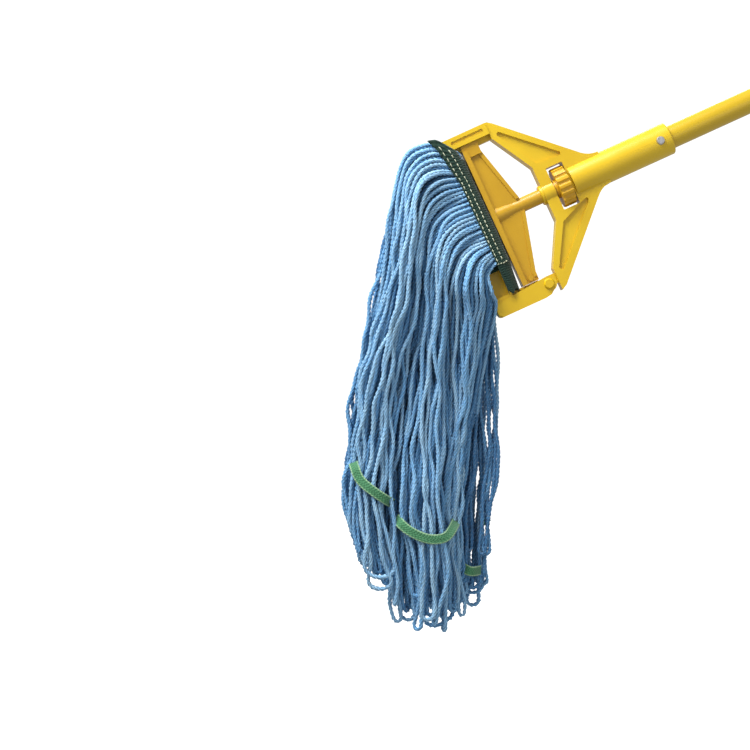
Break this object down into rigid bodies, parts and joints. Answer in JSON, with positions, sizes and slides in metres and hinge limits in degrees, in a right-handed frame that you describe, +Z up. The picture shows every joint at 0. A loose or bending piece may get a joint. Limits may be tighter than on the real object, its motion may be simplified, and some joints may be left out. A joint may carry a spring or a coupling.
{
  "type": "string mop",
  "caption": "Looped-end string mop head clamped in a side-gate holder with a thumbwheel and jaw, on a long round pole.",
  "frame": {"origin": "on the pole's axis, at the mouth of the yoke's socket", "axes": "+X right and along the pole's run, +Y away from the viewer and square to the clamp's plane, +Z up; the pole rises at 24.5 degrees and the yarn hangs along -Z"},
  "size_m": [1.3717, 0.0948, 0.9876],
  "materials": {
    "yellow_moulding": "moulded yellow plastic, semi-gloss",
    "yellow_jaw": "moulded yellow plastic, slightly darker",
    "yellow_pole": "yellow powder-coated aluminium tube",
    "yellow_rivet": "yellow-coated steel rivet",
    "zinc_steel": "zinc-plated steel",
    "brass": "turned brass",
    "headband_tape": "woven dark green tape",
    "blue_yarn": "plied cotton-blend mop yarn, blue",
    "tail_band": "woven light green tape"
  },
  "bodies": {
    "holder": {"yoke": "yellow_moulding", "pole": "yellow_pole", "pole_end_plug": "yellow_moulding", "pole_rivet": "zinc_steel", "stem_bush": "yellow_moulding", "gate_pivot_rivet": "yellow_rivet", "gate_pivot_washer": "zinc_steel"},
    "wheel": {"thumbwheel": "yellow_moulding", "wheel_insert": "brass", "thrust_washer_front": "yellow_jaw", "thrust_washer_back": "yellow_jaw"},
    "jaw": {"jaw": "yellow_jaw", "screw_rod": "zinc_steel", "screw_pin": "zinc_steel"},
    "gate": {"gate": "yellow_moulding", "headband_inner_tape": "headband_tape", "headband_outer_tape": "headband_tape", "headband_yarn": "blue_yarn"},
    "yarn": {"yarn_front_left": "blue_yarn", "yarn_front_middle": "blue_yarn", "yarn_front_right": "blue_yarn", "yarn_back_left": "blue_yarn", "yarn_back_middle": "blue_yarn", "yarn_back_right": "blue_yarn", "tail_band_front": "tail_band", "tail_band_back": "tail_band"}
  },
  "joints": [
    {"name": "thumbwheel_spin", "type": "hinge", "parent": "holder", "child": "wheel", "pos_m": [-0.11374, 0, -0.05184], "axis": [0.91, 0, 0.4147], "range_deg": [0, 1260]},
    {"name": "jaw_slide", "type": "slide", "parent": "holder", "child": "jaw", "axis": [0.91, 0, 0.4147], "range_m": [0, 0.014]},
    {"name": "gate_swing", "type": "hinge", "parent": "holder", "child": "gate", "pos_m": [-0.12907, 0, -0.15663], "axis": [0, -1, 0], "range_deg": [0, 70]},
    {"name": "yarn_hang", "type": "hinge", "parent": "gate", "child": "yarn", "pos_m": [-0.24798, 0, -0.0985], "axis": [0, -1, 0], "range_deg": [-70, 0]}
  ],
  "couplings": [
    {"joint": "thumbwheel_spin", "follows": "jaw_slide", "rad_per_m": 1570.8},
    {"joint": "yarn_hang", "follows": "gate_swing", "ratio": -1}
  ]
}
